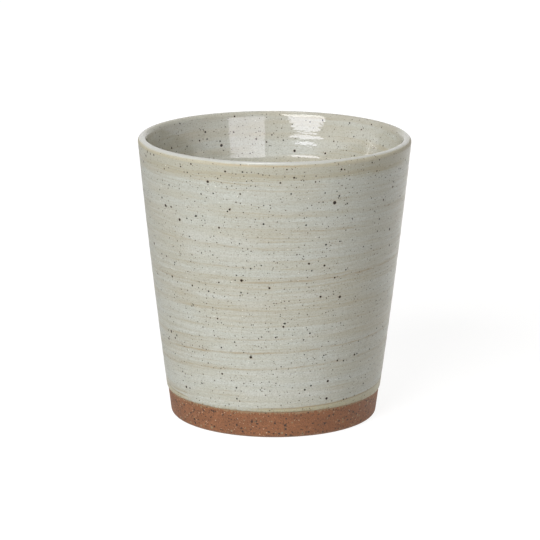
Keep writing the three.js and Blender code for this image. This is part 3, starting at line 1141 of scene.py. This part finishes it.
# %% Gloss and skin of the liner
GLOSSY = 0.035
SATIN = 0.5
lip_roughness = mixed(liner, below_crown, GLOSSY, SATIN)
liner.links.new(lip_roughness, liner_shader.inputs["Roughness"])
dimples = sums(liner, "SUBTRACT", cloud(liner, stretched(liner, liner_place, 1.1, 0.6), 0), 0.5)
dimples = share_of(liner, dimples, between(liner, liner_z, 87.5, 88.3, 1.0, 0.1))
liner.links.new(relief_of(liner, dimples, 0.009), liner_shader.inputs["Normal"])
far_lip = share_of(liner, between(liner, liner_y, 0, 10), between(liner, liner_z, 87.7, 88.1))
mirror_level = between(liner, far_lip, 0, 1, 0.75, 0.38)
mirror_level = mixed(liner, below_crown, mirror_level, 0.3)
liner.links.new(mirror_level, liner_shader.inputs["Specular IOR Level"])
print("liner glaze:", len(liner.nodes), "nodes")

# %% [markdown]
# ## Floor and surroundings
# The mug stands on a white sweep, and one paint could not serve all that sees it. For the light that
# falls on the mug the floor is mid-grey paint with a weak glow, or it would light the mug from below.
# For the camera the paint is darker, and its glow carries it to white. The mug's shadow stays, because
# light is still missing there, and the glow grows with distance, so that no horizon shows. In the mug's
# reflections the floor has another glow, stronger on the right, where the room is lit.

# %% The floor's mesh
FLOOR_SIZE = 8
floor_mesh = bpy.data.meshes.new("floor")
half = FLOOR_SIZE / 2
corners = [(-half, -half, 0), (half, -half, 0), (half, half, 0), (-half, half, 0)]
floor_mesh.from_pydata(corners, [], [(0, 1, 2, 3)])
floor = bpy.data.objects.new("floor", floor_mesh)
bpy.context.scene.collection.objects.link(floor)
print("floor:", FLOOR_SIZE, "m wide")

# %% The floor's paint and glow
WHITE = (1, 1, 1, 1)
LIT_PAINT = (0.5, 0.5, 0.5, 1)
SEEN_PAINT = (0.2, 0.2, 0.2, 1)
SEEN_GLOW = 0.89
FAR_GLOW = 0.96
BOUNCED_GLOW = 0.12
floor_paint = bpy.data.materials.new("floor")
floor_mesh.materials.append(floor_paint)
paint, paint_shader = start_finish(floor_paint)
paint_shader.inputs["Roughness"].default_value = 1.0
paint_shader.inputs["Specular IOR Level"].default_value = 0.0
rays = lay(paint, "ShaderNodeLightPath", {}).node.outputs
paint_colour = blend(paint, rays["Is Camera Ray"], LIT_PAINT, SEEN_PAINT)
paint.links.new(paint_colour, paint_shader.inputs["Base Color"])
floor_x, floor_y = parts_of(paint, place_in_mm(paint))[:2]
mirrored_glow = between(paint, floor_x, -120, 120, 0.1, 0.8)
mirrored_glow = sums(paint, "ADD", mirrored_glow, between(paint, floor_y, 40, 120, 0.0, 0.12))
mirrored = sums(paint, "MULTIPLY", rays["Is Glossy Ray"], mirrored_glow)
mirrored = sums(paint, "MAXIMUM", mirrored, BOUNCED_GLOW)
off_mug = number_from(paint, "LENGTH", vectors(paint, "MULTIPLY", place_in_mm(paint), (1, 1, 0)))
seen_glow = between(paint, off_mug, 180, 500, SEEN_GLOW, FAR_GLOW)
glow = mixed(paint, rays["Is Camera Ray"], mirrored, seen_glow)
paint_shader.inputs["Emission Color"].default_value = WHITE
paint.links.new(glow, paint_shader.inputs["Emission Strength"])
print("floor paint:", len(paint.nodes), "nodes")

# %% [markdown]
# ## Surroundings
# The camera, the mug's reflections and anything seen through glass find plain white all round. For
# light there is only a weak warm ambient, and two soft patches like lit walls, behind the mug on the
# right. So the white that the camera sees doesn't wash out the mug.

# %% World
AMBIENT = 0.02
AMBIENT_COLOUR = (1, 0.95, 0.85, 1)
LIT_WALLS = ((120, 15, 0.85), (150, 15, 1.3))
world = bpy.data.worlds.new("surroundings")
bpy.context.scene.world = world
world.use_nodes = True
sky = world.node_tree
direction = lay(sky, "ShaderNodeTexCoord", {}, out="Generated")
sky_level = AMBIENT
for azimuth, elevation, wall_level in LIT_WALLS:
    facing = number_from(sky, "DOT_PRODUCT", direction, toward_place(azimuth, elevation))
    sky_level = sums(sky, "ADD", sky_level, between(sky, facing, 0.75, 0.98, 0.0, wall_level))
sky_rays = lay(sky, "ShaderNodeLightPath", {}).node.outputs
sky_white = sums(sky, "MAXIMUM", sky_rays["Is Camera Ray"], sky_rays["Is Glossy Ray"])
sky_white = sums(sky, "MAXIMUM", sky_white, sky_rays["Is Transmission Ray"])
background = sky.nodes["Background"]
sky.links.new(mixed(sky, sky_white, sky_level, 1.0), background.inputs["Strength"])
sky.links.new(blend(sky, sky_white, AMBIENT_COLOUR, WHITE), background.inputs["Color"])
print("surroundings:", len(sky.nodes), "nodes")

# %% [markdown]
# ## Softboxes
# A large softbox stands high to the left of the camera, with a long, bluish oval one under it, and a
# weaker, cooler one stands to the right. Their places are read from the mug: the oval one and the cool
# one show as patches on the glossy wall inside, and the oval's patch narrows downwards as an oval does.
# The large one shows there only as a thin line above. A small one overhead draws the bright line on
# the front lip. A lamp's power is worked out from how bright its face should look, so a bigger box
# isn't brighter.

# %% Softboxes
def softbox(label, shape, azimuth, elevation, distance, width, height, brightness, colour, roll=0):
    """A lamp with a face of width by height, turned to the mug and rolled by a few degrees."""
    lamp = bpy.data.lights.new(label, "AREA")
    lamp.shape = shape
    lamp.size = width
    lamp.size_y = height
    face = width * height * (math.pi / 4 if shape == "ELLIPSE" else 1)
    lamp.energy = brightness * math.pi * face
    lamp.color = colour
    holder = bpy.data.objects.new(label, lamp)
    holder.location = seen_from(azimuth, elevation, distance)
    aimed = (holder.location - AIM).to_track_quat("Z", "Y")
    holder.rotation_euler = (aimed @ Quaternion((0, 0, 1), math.radians(roll))).to_euler()
    bpy.context.scene.collection.objects.link(holder)
    print(label, round(lamp.energy, 1), "W")


softbox("key_box", "RECTANGLE", -30, 34.5, 1.8, 1.12, 0.84, 12.0, (0.995, 0.99, 0.972))
softbox("low_box", "ELLIPSE", -30.8, 18.9, 1.8, 1.17, 0.32, 5.35, (0.88, 0.89, 1.0), roll=3.5)
softbox("fill_box", "RECTANGLE", 27, 15.2, 1.8, 1.1, 0.37, 2.6, (0.93, 0.9, 0.97))
softbox("top_box", "RECTANGLE", -148, 79.5, 1.0, 0.47, 0.21, 4.0, (1.0, 1.0, 1.0), roll=32)

# %% [markdown]
# ## Join the layers to the imported model
# Each layer stands for one solid of the imported model, which is hidden, and is attached to the root
# body.

# %% Hand the pieces over
LAYERS = (
    (clay_body, "stoneware_body", "bare_clay"),
    (outer_coat, "outer_glaze", "outer_glaze"),
    (liner_coat, "liner_glaze", "liner_glaze"),
)
for piece, node, slot in LAYERS:
    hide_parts(node)
    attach(piece, "root")
